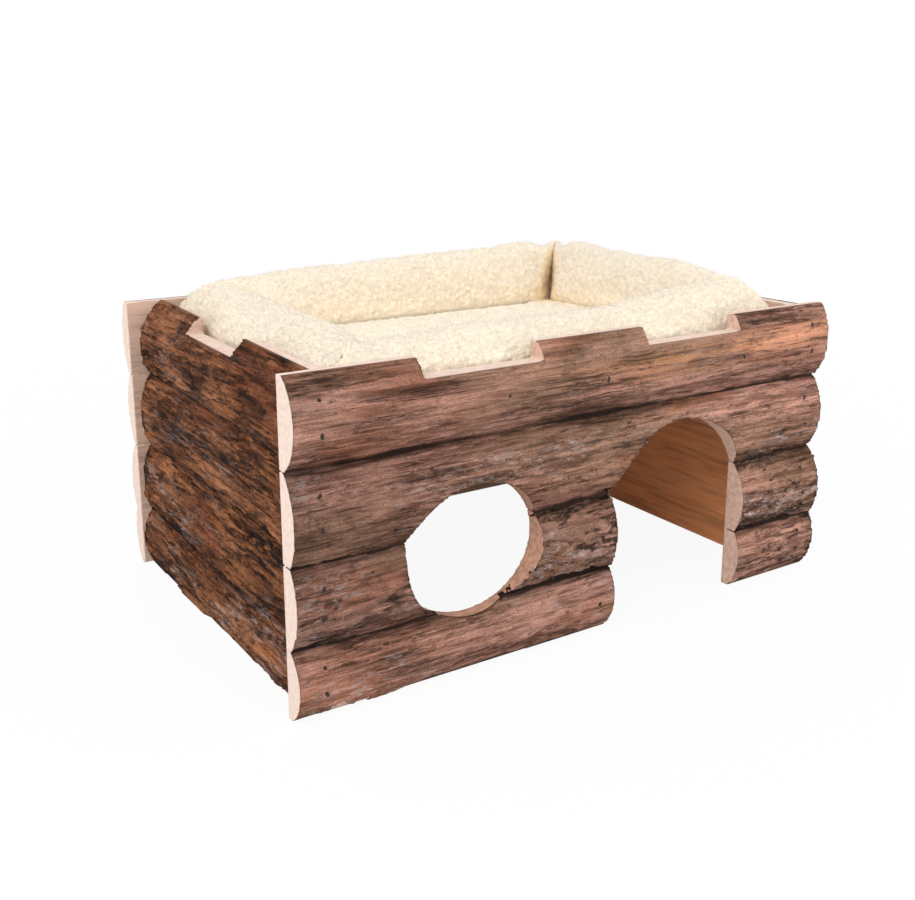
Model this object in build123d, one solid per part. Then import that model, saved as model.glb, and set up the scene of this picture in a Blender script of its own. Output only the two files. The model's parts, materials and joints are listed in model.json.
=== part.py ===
"""Wooden guinea pig house: four walls of bark-on half-round slabs, a roof board and a loose lying bed.

Millimetres. The origin is on the floor, in the middle of the house. +X runs to the right along the front
wall, +Y to the back and +Z up, so the doorway and the round window look towards -Y.
"""
from build123d import *
import math
import os
from typing import NamedTuple

# Overall sizes of the walls
front_width = 400.0         # length of the front and back walls, end to end
cabin_depth = 250.0         # between the flat inner faces of the front and back walls
side_setback = 25.0         # inner face of a side wall, in from the ends of the front wall
slab_heights = {"base": 40.0, "lower": 48.0, "upper": 51.0, "top": 51.0}

# Battlements
crenel_depth = 10.5
front_merlon = 79.0         # width of the middle merlon on the front and back walls
front_crenel = 79.5         # width of each gap beside it
front_merlon_shift = -3.0   # the middle merlon sits a little left of the middle
side_crenel = 78.0          # width of the one gap on a side wall
side_crenel_shift = 5.0     # towards the back wall

# Openings of the front wall
window_width = 92.0
window_height = 81.0
window_from_left = 112.5    # centre of the window, from the left end of the wall
window_bite = 5.5           # how far the window is sawn down into the base slab
door_width = 109.5
door_from_left = 270.2      # centre of the doorway, from the left end of the wall
arch_rise = 40.0            # the arch is sawn out of the upper slab, from its lower edge up

# Roof board and posts
roof_thickness = 8.0
roof_drop = 22.0            # upper side of the roof board, below the top of the battlements
post_size = 18.0
post_floor_gap = 3.0
door_post_reveal = 3.0      # door post, back from the edge of the doorway

# Brads, the small T-headed nails
brad_length = 28.0
brad_shank = (1.2, 1.0)     # across and up
brad_head = (2.4, 1.4)
brad_head_depth = 0.9
brad_proud = 0.3            # the head stands this far out of the bark
brad_end_heights = (0.40, 0.75)     # two brads at each slab end, as shares of the slab's height
brad_post_height = 0.25     # one brad to a post, as a share of the slab's height
brad_top_height = 0.6       # in the top slab, as a share of the way up to the roof board
brad_into_side = 9.0        # end brads, outward of the side wall's inner face
front_roof_brads = (-69.0, 3.0, 117.0)
side_roof_brads = (-60.0, 60.0)

# Lying bed
bed_clearance = 1.0         # to the walls, all round
bed_corner = 14.0           # radius of its outer corners
bed_base_thickness = 1.5
bolster_width = 61.0
bolster_height = 33.0
bolster_corner_drop = 5.0   # the stuffing thins out towards the outer corners
bolster_slope = 80.0        # each end slopes down to its corner over this length
bolster_tuck = 5.0          # the bolster's foot, drawn in under its sides
bolster_shoulder = 14.0     # height of its fullest width
bolster_crown = 28.0        # crown of the bolster, in from its outer side
pad_gap = 0.5               # between the pad and the bolsters
pad_side = 5.0              # height of the pad's side
pad_crown = 8.5             # height of the pad in the middle
pad_end_crown = 6.0         # height of the pad along its short sides
pad_draw_in = 3.0           # the pad's sides pull in between its corners


class EndForm(NamedTuple):
    """Sawn end of a slab: thickness at its lower and upper edges and the log's radius, as shares of its height."""
    low: float
    high: float
    radius: float


# Each slab as seen from outside: its left end, then its right end
long_forms = {
    "base": (EndForm(0.12, 0.15, 0.61), EndForm(0.15, 0.25, 0.91)),
    "lower": (EndForm(0.12, 0.19, 0.80), EndForm(0.21, 0.08, 0.80)),
    "upper": (EndForm(0.18, 0.10, 0.82), EndForm(0.08, 0.09, 0.82)),
    "top": (EndForm(0.10, 0.14, 0.62), EndForm(0.09, 0.14, 0.80)),
}
side_forms = {
    "base": (EndForm(0.48, 0.45, 0.98), EndForm(0.38, 0.38, 0.98)),
    "lower": (EndForm(0.38, 0.33, 1.19), EndForm(0.31, 0.29, 1.19)),
    "upper": (EndForm(0.31, 0.25, 1.03), EndForm(0.27, 0.27, 1.03)),
    "top": (EndForm(0.25, 0.04, 0.77), EndForm(0.27, 0.18, 0.77)),
}

# Worked out from the sizes above
side_inner = front_width / 2 - side_setback
wall_height = sum(slab_heights.values())
slab_floor = {}
height_so_far = 0.0
for level, level_height in slab_heights.items():
    slab_floor[level] = height_so_far
    height_so_far += level_height
crenel_floor = wall_height - crenel_depth
roof_top = wall_height - roof_drop
roof_bottom = roof_top - roof_thickness
window_x = window_from_left - front_width / 2
window_z = slab_floor["lower"] - window_bite + window_height / 2
door_x = door_from_left - front_width / 2
door_left = door_x - door_width / 2
door_right = door_x + door_width / 2
arch_spring = slab_floor["upper"]
door_post_x = door_left - door_post_reveal - post_size / 2
corner_post_x = side_inner - post_size / 2
corner_post_y = cabin_depth / 2 - post_size / 2
bed_length = 2 * (side_inner - bed_clearance)
bed_depth = cabin_depth - 2 * bed_clearance
bed_floor = roof_top + bed_base_thickness
past = 60.0                 # how far a cutter runs past what it cuts

# Each wall is modelled with its flat face on the XZ plane and its bark towards -Y, then set in its place
wall_places = {
    "front": Location((0, -cabin_depth / 2, 0)),
    "back": Location((0, cabin_depth / 2, 0), (0, 0, 180)),
    "left": Location((-side_inner, 0, 0), (0, 0, -90)),
    "right": Location((side_inner, 0, 0), (0, 0, 90)),
}
wall_lengths = {"front": front_width, "back": front_width, "left": cabin_depth, "right": cabin_depth}


def forms_of(wall, level):
    """The two end forms of a slab; the back and right walls take the same logs end for end."""
    forms = long_forms if wall in ("front", "back") else side_forms
    left_end, right_end = forms[level]
    if wall == "right":
        return right_end, left_end
    return left_end, right_end


def log_middle(form, x, level):
    """Middle of the log at a slab's end, from the edges of the bark there and the log's radius."""
    height = slab_heights[level]
    low_edge = Vector(x, -form.low * height, slab_floor[level])
    high_edge = Vector(x, -form.high * height, slab_floor[level] + height)
    chord = high_edge - low_edge
    inward = chord.cross(Vector(1, 0, 0)).normalized()
    depth = math.sqrt((form.radius * height) ** 2 - (chord.length / 2) ** 2)
    return (low_edge + high_edge) / 2 + inward * depth


def box_between(low, high):
    """Box from its lowest corner to its highest."""
    size = [b - a for a, b in zip(low, high)]
    middle = [(a + b) / 2 for a, b in zip(low, high)]
    return Pos(*middle) * Box(*size)


def plain_slab(wall, level):
    """Slab along X, sawn out of a round log between its two end forms."""
    half = wall_lengths[wall] / 2
    left_end, right_end = forms_of(wall, level)
    start = log_middle(left_end, -half, level)
    pith = log_middle(right_end, half, level) - start
    left_radius = left_end.radius * slab_heights[level]
    right_radius = right_end.radius * slab_heights[level]
    taper = (right_radius - left_radius) / pith.length
    profile = Polyline(
        (0, -past), (left_radius - taper * past, -past),
        (right_radius + taper * past, pith.length + past), (0, pith.length + past), close=True,
    )
    log = revolve(Plane.XZ * make_face(profile), Axis.Z)
    sawn = box_between((-half, -past, slab_floor[level]), (half, 0, slab_floor[level] + slab_heights[level]))
    return sawn & Plane(start, x_dir=(0, 1, 0), z_dir=pith).location * log


def bark_depth(slab, x, z):
    """How thick a slab is at a place on its flat back."""
    return (slab & Line((x, 0, z), (x, -past, z))).edge().length


def crenel_cutters(wall):
    """Gaps between the merlons, sawn out of the top slab."""
    if wall in ("front", "back"):
        step = (front_merlon + front_crenel) / 2
        centres = (front_merlon_shift - step, front_merlon_shift + step)
        width = front_crenel
    else:
        outward = -side_crenel_shift if wall == "left" else side_crenel_shift
        centres = (outward,)
        width = side_crenel
    return [
        box_between((x - width / 2, -past, crenel_floor), (x + width / 2, past, wall_height + past))
        for x in centres
    ]


def window_cutter():
    """Round window, sawn by hand and so a little wider than high."""
    rim = Pos(window_x, window_z) * Ellipse(window_width / 2, window_height / 2)
    return extrude(Plane.XZ * rim, amount=past, both=True)


def door_cutter():
    """Doorway with upright sides and a bowed head above the lower slab."""
    head = [
        Line((door_left, arch_spring), (door_right, arch_spring)),
        ThreePointArc((door_right, arch_spring), (door_x, arch_spring + arch_rise), (door_left, arch_spring)),
    ]
    arch = extrude(Plane.XZ * make_face(head), amount=past, both=True)
    return arch + box_between((door_left, -past, -past), (door_right, past, arch_spring))


def brad(wall, level, x, z):
    """T-headed brad driven in from the bark, at a place on the wall's flat back."""
    outside = -bark_depth(plain_slabs[wall, level], x, z) - brad_proud
    head = box_between((-brad_head[0] / 2, outside, -brad_head[1] / 2),
                       (brad_head[0] / 2, outside + brad_head_depth, brad_head[1] / 2))
    shank = box_between((-brad_shank[0] / 2, outside, -brad_shank[1] / 2),
                        (brad_shank[0] / 2, outside + brad_length, brad_shank[1] / 2))
    return wall_places[wall] * Pos(x, 0, z) * (head + shank)


def long_wall_brads(wall):
    """Brads of the front or back wall: into the ends of the side slabs and the edge of the roof board."""
    brads = []
    end_x = side_inner + brad_into_side
    for level, height in slab_heights.items():
        for share in brad_end_heights:
            z = slab_floor[level] + share * height
            brads += [brad(wall, level, -end_x, z), brad(wall, level, end_x, z)]
    roof_z = roof_top - roof_thickness / 2
    brads += [brad(wall, "top", x, roof_z) for x in front_roof_brads]
    if wall == "front":
        for level in ("base", "lower"):
            z = slab_floor[level] + slab_heights[level] / 2
            brads += [brad(wall, level, corner_post_x, z), brad(wall, level, door_post_x, z)]
    return brads


def side_wall_brads(wall):
    """Brads of a side wall: into the corner posts and the edge of the roof board."""
    brads = []
    for level, height in slab_heights.items():
        z = slab_floor[level] + brad_post_height * height
        if level == "top":
            z = slab_floor[level] + brad_top_height * (roof_bottom - slab_floor[level])
        brads += [brad(wall, level, -corner_post_y, z), brad(wall, level, corner_post_y, z)]
    roof_z = roof_top - roof_thickness / 2
    return brads + [brad(wall, "top", x, roof_z) for x in side_roof_brads]


def wall_slabs(wall):
    """All slabs of one wall, where they stand, with the openings sawn out."""
    slabs = {f"{wall}_{level}_slab": plain_slabs[wall, level] for level in slab_heights}
    slabs[f"{wall}_top_slab"] -= crenel_cutters(wall)
    if wall == "front":
        for name in ("front_base_slab", "front_lower_slab", "front_upper_slab"):
            slabs[name] -= [window_cutter(), door_cutter()]
        base_cuts = {"left": (-front_width, door_x), "right": (door_x, front_width)}
        lower_cuts = base_cuts | {"left": (-front_width, window_x), "middle": (window_x, door_x)}
        slabs.update(cut_to_lengths(slabs.pop("front_lower_slab"), "front_lower_slab", lower_cuts))
        slabs.update(cut_to_lengths(slabs.pop("front_base_slab"), "front_base_slab", base_cuts))
    return {name: wall_places[wall] * slab for name, slab in slabs.items()}


def cut_to_lengths(slab, name, spans):
    """The lengths that a slab is left in beside the window and the doorway."""
    return {
        f"{name}_{place}": slab & box_between((x_low, -past, -past), (x_high, past, wall_height + past))
        for place, (x_low, x_high) in spans.items()
    }


def posts():
    """Four corner posts and the door post, from just above the floor to the roof board."""
    def post(x, y):
        half = post_size / 2
        return box_between((x - half, y - half, post_floor_gap), (x + half, y + half, roof_bottom))
    made = {"door_post": post(door_post_x, -corner_post_y)}
    for side, x in (("left", -corner_post_x), ("right", corner_post_x)):
        for end, y in (("front", -corner_post_y), ("back", corner_post_y)):
            made[f"{end}_{side}_post"] = post(x, y)
    return made


def roof_board():
    """Board that the bed lies on, fitted between the four walls."""
    return box_between((-side_inner, -cabin_depth / 2, roof_bottom), (side_inner, cabin_depth / 2, roof_top))


def bed_base():
    """Cloth under the bed, as a thin stiff sheet on the roof board."""
    outline = RectangleRounded(bed_length, bed_depth, bed_corner)
    return Pos(0, 0, roof_top) * extrude(outline, amount=bed_base_thickness)


def bolster_face():
    """Section of a bolster: full at the crown, drawn in under its sides and straight below its foot."""
    crown = (bolster_crown, bolster_height)
    outer_side = (0, bolster_shoulder)
    inner_side = (bolster_width, bolster_shoulder)
    outer_foot = bolster_tuck
    inner_foot = bolster_width - bolster_tuck
    below = -2 * bolster_corner_drop
    outline = [
        Polyline((outer_foot, 0), (outer_foot, below), (inner_foot, below), (inner_foot, 0)),
        TangentArc(inner_side, (inner_foot, 0), tangent=(0, -1)),
        TangentArc(crown, inner_side, tangent=(1, 0)),
        TangentArc(crown, outer_side, tangent=(-1, 0)),
        TangentArc(outer_side, (outer_foot, 0), tangent=(0, -1)),
    ]
    return make_face(outline)


def bolster_footprint(length):
    """Outline of a bolster seen from above: mitred ends, cut round where they reach the bed's corners."""
    half = length / 2
    reach = bolster_width + bolster_tuck
    tip = bed_corner * (1 - math.sqrt(0.5))
    return make_face([
        Line((bed_corner - half, 0), (half - bed_corner, 0)),
        TangentArc((half - bed_corner, 0), (half - tip, tip), tangent=(1, 0)),
        Polyline((half - tip, tip), (half - reach, reach), (reach - half, reach), (tip - half, tip)),
        TangentArc((bed_corner - half, 0), (tip - half, tip), tangent=(-1, 0)),
    ])


def bolster(length):
    """Stuffed bolster along X, its outer side on the XZ plane, bent down a little towards its ends."""
    end = length / 2 + bolster_slope
    bend = length / 2 - bolster_slope
    end_drop = -2 * bolster_corner_drop
    spine = Polyline((-end, 0, end_drop), (-bend, 0, 0), (bend, 0, 0), (end, 0, end_drop))
    section = Plane(spine @ 0, x_dir=(0, 1, 0), z_dir=spine % 0) * bolster_face()
    stuffed = sweep(section, spine, transition=Transition.RIGHT)
    return stuffed & extrude(bolster_footprint(length), amount=2 * bolster_height)


def bolsters():
    """Four bolsters round the bed, meeting at their mitred ends."""
    long_bolster = bolster(bed_length)
    short_bolster = bolster(bed_depth)
    return {
        "front_bolster": Location((0, -bed_depth / 2, bed_floor)) * long_bolster,
        "back_bolster": Location((0, bed_depth / 2, bed_floor), (0, 0, 180)) * long_bolster,
        "left_bolster": Location((-bed_length / 2, 0, bed_floor), (0, 0, -90)) * short_bolster,
        "right_bolster": Location((bed_length / 2, 0, bed_floor), (0, 0, 90)) * short_bolster,
    }


def pad_face(x, depth, crown):
    """Section of the centre pad: flat below, upright sides and a crowned top."""
    half = depth / 2
    outline = [
        Line((-half, 0), (half, 0)),
        Line((half, 0), (half, pad_side)),
        ThreePointArc((half, pad_side), (0, crown), (-half, pad_side)),
        Line((-half, pad_side), (-half, 0)),
    ]
    return Plane.YZ.offset(x) * make_face(outline)


def centre_pad():
    """Lower pad in the middle of the bed, a crowned form whose sides pull in between its corners."""
    edge = bolster_width + pad_gap
    length = bed_length - 2 * edge
    depth = bed_depth - 2 * edge
    waist = depth - 2 * pad_draw_in
    stations = ((-length / 2, depth, pad_end_crown), (-length / 4, waist, pad_crown), (0, waist, pad_crown),
                (length / 4, waist, pad_crown), (length / 2, depth, pad_end_crown))
    return Pos(0, 0, bed_floor) * loft([pad_face(x, across, crown) for x, across, crown in stations])


plain_slabs = {(wall, level): plain_slab(wall, level) for wall in wall_places for level in slab_heights}


def house_parts():
    """Every node of the model by name."""
    nodes = {}
    for wall in wall_places:
        nodes.update(wall_slabs(wall))
    nodes.update(posts())
    nodes["roof_board"] = roof_board()
    brads = {wall: long_wall_brads(wall) for wall in ("front", "back")}
    brads.update({wall: side_wall_brads(wall) for wall in ("left", "right")})
    every_brad = [each for group in brads.values() for each in group]
    drilled = {name: solid - every_brad for name, solid in nodes.items()}
    for wall, group in brads.items():
        drilled[f"{wall}_brads"] = Compound(children=group)
    drilled["bed_base"] = bed_base()
    drilled["centre_pad"] = centre_pad()
    drilled.update(bolsters())
    return drilled


os.makedirs("parts", exist_ok=True)
for node_name, shape in house_parts().items():
    export_step(shape, f"parts/{node_name}.step")
    print(node_name, len(shape.solids()), round(shape.volume, 1))
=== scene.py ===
"""Looks of a wooden guinea pig house: bark-on slab walls, small brads, a roof board and a plush lying bed.

Metres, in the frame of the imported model. +X runs to the right along the front wall, +Y to the back, +Z up.
"""

import json
import math

import bmesh
import bpy
import numpy as np
from mathutils import Matrix, Vector
from mathutils.bvhtree import BVHTree

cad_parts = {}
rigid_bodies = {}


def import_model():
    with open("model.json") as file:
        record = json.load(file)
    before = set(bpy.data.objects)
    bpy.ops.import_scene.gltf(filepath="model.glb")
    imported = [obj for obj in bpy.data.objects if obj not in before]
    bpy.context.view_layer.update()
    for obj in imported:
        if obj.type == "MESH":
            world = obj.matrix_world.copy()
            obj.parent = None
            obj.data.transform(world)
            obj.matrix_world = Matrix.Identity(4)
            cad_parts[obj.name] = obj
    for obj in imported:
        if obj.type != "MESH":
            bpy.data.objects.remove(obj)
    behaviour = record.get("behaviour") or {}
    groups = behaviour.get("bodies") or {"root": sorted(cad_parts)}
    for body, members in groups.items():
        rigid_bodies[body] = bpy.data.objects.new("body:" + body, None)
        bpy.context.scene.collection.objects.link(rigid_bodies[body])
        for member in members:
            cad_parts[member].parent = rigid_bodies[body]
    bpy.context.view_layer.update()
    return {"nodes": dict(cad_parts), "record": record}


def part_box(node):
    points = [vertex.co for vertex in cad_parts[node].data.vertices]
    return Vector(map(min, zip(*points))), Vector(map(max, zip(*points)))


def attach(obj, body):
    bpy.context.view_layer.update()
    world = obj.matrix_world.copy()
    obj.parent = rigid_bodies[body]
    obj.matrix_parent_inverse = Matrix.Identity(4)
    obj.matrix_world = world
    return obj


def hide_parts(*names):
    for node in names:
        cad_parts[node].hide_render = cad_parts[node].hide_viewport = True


bl_info = {
    "name": "Guinea pig house",
    "version": (1, 0, 0),
    "blender": (4, 5, 0),
    "location": "View3D > Sidebar > House",
    "description": "Dresses the packed house: bark, sawn wood, brads and a plush bed",
    "category": "Object",
}

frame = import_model()
cad_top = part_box("front_top_slab")[1].z
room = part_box("roof_board")[1]  # inner corner of the walls at the back right, at the roof board's top
pad_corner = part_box("centre_pad")[1]
SEAM = room.x - room.y  # what x - y comes to along the mitre at the bed's back right corner

OUTWARD = {"front": (0, -1, 0), "back": (0, 1, 0), "left": (-1, 0, 0), "right": (1, 0, 0)}
LONG_WALLS = ("front", "back")

# How light each slab's bark is, how that changes along it, and how rough and lichen-grown the bark is
SHADES = {"front_top_slab": 1.12, "front_upper_slab": 1.28, "front_lower_slab_left": 0.86,
          "front_lower_slab_middle": 1.02, "front_lower_slab_right": 1.3, "front_base_slab_right": 1.3}
USUAL_SHADE = 1.14
SHADE_LIMIT = 1.36
SHADE_SLOPES = {"front_top_slab": 0.4, "front_upper_slab": 2.6}
ROUGHNESS = {"front_top_slab": 0.15, "front_upper_slab": 0.5, "front_lower_slab_left": 0.7,
             "front_lower_slab_middle": 1.0, "front_lower_slab_right": 0.9, "front_base_slab_left": 0.5,
             "front_base_slab_right": 0.8, "left_base_slab": 0.9, "left_lower_slab": 0.7}
USUAL_ROUGHNESS = 0.45
LOG_SHIFT = (0.37, 0.53, 0.71)  # moves the patterns on, by the step from each log to the next
LOG_STEP = 1.7
BAND_TINT = (0.5, 0.45, 0.41, 1)
# Painted shade: a dark tint laid on the bark beside each joint between slabs, where shade falls
JOINT_SHADE_TINT = (0.36, 0.31, 0.27, 1)

# Chips in the bark: x and z of the middle, half the width and half the height
CHIPS = {"front_base_slab_left": ((-0.174, 0.002, 0.006, 0.006), (-0.160, 0.001, 0.005, 0.003))}
LAID = 0.8  # share of the way by which the even mesh is laid onto the slab
BARK_FACING = 0.35  # a face that looks outwards by more than this is bark
INNER_FACING = 0.7  # and one that looks inwards by more than this is planed
JOINT_REACH = 0.0008  # a level face this near to a joint's height lies in the joint
RIM_RADIUS = 0.052  # round the middle of the window, past its sawn rim
LONG_ENDS = 0.195  # sawn ends of the long walls lie past this x, and those of the side walls past this y
SIDE_ENDS = 0.12
SKIN = 0.0002  # thickness of the bark where a slab is cut, and where the cut looks upwards
UPPER_SKIN = 0.0026
SKIN_FADE = 0.002  # depth over which bark gives way to sawn wood
JOINT_EDGE = 0.003  # from the inner face, up to which a joint shows sawn wood
HOLE_RADIUS = 0.003  # round a brad's hole, which the bark covers
CHIP_RIM = 0.7  # how much of the rim's darker tone is in a chip, where it is the wood under the bark, and in a cut and in one that looks upwards, where it is painted shade
CUT_RIM = 0.65
UPPER_RIM = 0.15

SOCKETS = {float: "NodeSocketFloat", int: "NodeSocketInt", tuple: "NodeSocketVector",
           type(None): "NodeSocketMaterial"}


def length(name, description, default):
    """Setting for a length."""
    return bpy.props.FloatProperty(name=name, description=description, default=default, unit="LENGTH")


def tint(name, description, default):
    """Setting for a colour."""
    return bpy.props.FloatVectorProperty(name=name, description=description, default=default, subtype="COLOR")


class BarkSettings(bpy.types.PropertyGroup):
    """Sizes and colours of the bark."""
    voxel: length("Mesh size", "Spacing of the slab meshes", 0.00125)
    swell: length("Swell", "Height of the broad swellings", 0.0022)
    plates: length("Plates", "Height of the bark plates on the long walls", 0.0009)
    side_plates: length("Side plates", "Height of the bark plates on the side walls", 0.0012)
    ridges: length("Ridges", "Height of the long ridges", 0.0016)
    fibres: length("Fibres", "Height of the long fibres", 0.0006)
    furrow: length("Furrow", "Depth of the furrow between slabs", 0.003)
    long_light: tint("Long walls, light", "Light bark of the long walls", (0.42, 0.22, 0.165))
    long_warm: tint("Long walls, warm", "Orange patches of the long walls", (0.37, 0.175, 0.1))
    long_mid: tint("Long walls, middle", "Main bark colour of the long walls", (0.195, 0.092, 0.062))
    long_olive: tint("Long walls, olive", "Tint laid over zones of the long walls", (0.62, 0.66, 0.56))
    long_dark: tint("Long walls, dark", "Dark streaks of the long walls", (0.055, 0.026, 0.017))
    side_light: tint("Side walls, light", "Light bark of the side walls", (0.37, 0.150, 0.066))
    side_warm: tint("Side walls, warm", "Orange patches of the side walls", (0.2, 0.065, 0.026))
    side_mid: tint("Side walls, middle", "Main bark colour of the side walls", (0.138, 0.046, 0.016))
    side_olive: tint("Side walls, olive", "Tint laid over zones of the side walls", (0.72, 0.68, 0.6))
    side_dark: tint("Side walls, dark", "Dark cracks of the side walls", (0.017, 0.006, 0.003))
    streak: tint("Streaks", "Orange streaks along the front wall's top slab", (0.56, 0.26, 0.155))
    streak_height: length("Streak height", "Height of the streaks above the floor at mid-wall", 0.166)
    lichen: tint("Lichen", "Grey flecks on the rough slabs", (0.5, 0.43, 0.42))


class WoodSettings(bpy.types.PropertyGroup):
    """Colours of the sawn and planed wood, and the brads."""
    sawn: tint("Sawn wood", "Fresh sawn ends and edges", (0.84, 0.675, 0.585))
    # Painted shade: the rim's darker tone stands for the shade on sawn faces inside the window and on the
    # cuts between the ends
    rim: tint("Window rim", "Sawn rim of the window, mixed into the other cut edges", (0.575, 0.33, 0.237))
    planed_long: tint("Long walls inside", "Inner faces of the long walls", (0.57, 0.395, 0.305))
    # Painted light: the side walls' own orange-brown inside, made lighter and stronger to stand against the
    # shade inside the house
    planed_side: tint("Side walls inside", "Inner faces of the side walls", (0.95, 0.415, 0.182))
    board: tint("Board and posts", "Roof board and posts", (0.63, 0.42, 0.23))
    steel: tint("Brads", "Dark steel of the brads", (0.035, 0.028, 0.025))
    head_length: length("Head length", "Length of a brad's head", 0.0034)
    head_width: length("Head width", "Width of a brad's head", 0.0022)
    head_height: length("Head height", "Height of a brad's head", 0.0011)


class BedSettings(bpy.types.PropertyGroup):
    """Form and colour of the plush bed."""
    voxel: length("Cloth size", "Spacing of the cloth meshes", 0.0055)
    frames: bpy.props.IntProperty(name="Frames", description="Frames of the cloth simulation", default=16)
    pressure: bpy.props.FloatProperty(name="Pressure", description="Pressure of the stuffing", default=4.0)
    slack: bpy.props.FloatProperty(
        name="Slack", description="Share of spare cloth, which puckers", default=0.008)
    sink: length("Sink", "How far under the solid the cloth starts", 0.0022)
    cap: length("Cap", "Furthest that the cloth moves", 0.0035)
    sag: length("Sag", "How far the front bolster's crown has sunk", 0.008)
    loft: length("Loft", "How far the fullest crown stands above the others", 0.0115)
    peak: length("Peak", "How far the back right corner stands above that", 0.0108)
    fold: length("Fold", "Depth of the fold at the back right corner", 0.003)
    parting: length("Parting", "Half the width of that fold beside the pad", 0.0025)
    spread: length("Spread", "How far the pad spreads against the bolsters", 0.0065)
    lumps: length("Lumps", "Height of the stuffing's lumps", 0.0010)
    curl: length("Curl", "Size of one curl of the pile", 0.0045)
    pile: length("Pile", "Height of the curls", 0.0017)
    density: bpy.props.FloatProperty(name="Fibres", description="Fibres on a square metre", default=700000.0)
    fibre_length: length("Fibre length", "Length of a fibre", 0.0020)
    fibre_width: length("Fibre width", "Width of a fibre at its root", 0.00024)
    cloth: tint("Underside", "Cloth under the bed", (0.8, 0.72, 0.58))
    tip: tint("Pile tips", "Colour of the pile's tips", (0.895, 0.785, 0.625))
    # Painted shade in the creases between the pieces and in the fold at the back right corner
    crease: tint("Creases", "Colour in the creases between the pieces", (0.92, 0.68, 0.38))
    root: tint("Pile roots", "Colour deep in the pile", (0.93, 0.8, 0.62))


class StageSettings(bpy.types.PropertyGroup):
    """Camera, floor and light."""
    lens: bpy.props.FloatProperty(name="Lens", description="Focal length", default=43.28, unit="CAMERA")
    camera_place: bpy.props.FloatVectorProperty(
        name="Camera", description="Where the camera stands", subtype="TRANSLATION",
        default=(-0.4124, -0.6211, 0.3162))
    heading: bpy.props.FloatProperty(
        name="Heading", description="Turn of the camera from +Y towards +X", subtype="ANGLE",
        default=math.radians(32.83))
    tilt: bpy.props.FloatProperty(
        name="Tilt", description="How far the camera looks down", subtype="ANGLE",
        default=math.radians(13.64))
    shift: bpy.props.FloatProperty(name="Shift", description="Vertical shift of the lens", default=-0.077)
    floor_size: length("Floor", "Length of the floor's sides", 14.0)


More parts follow.
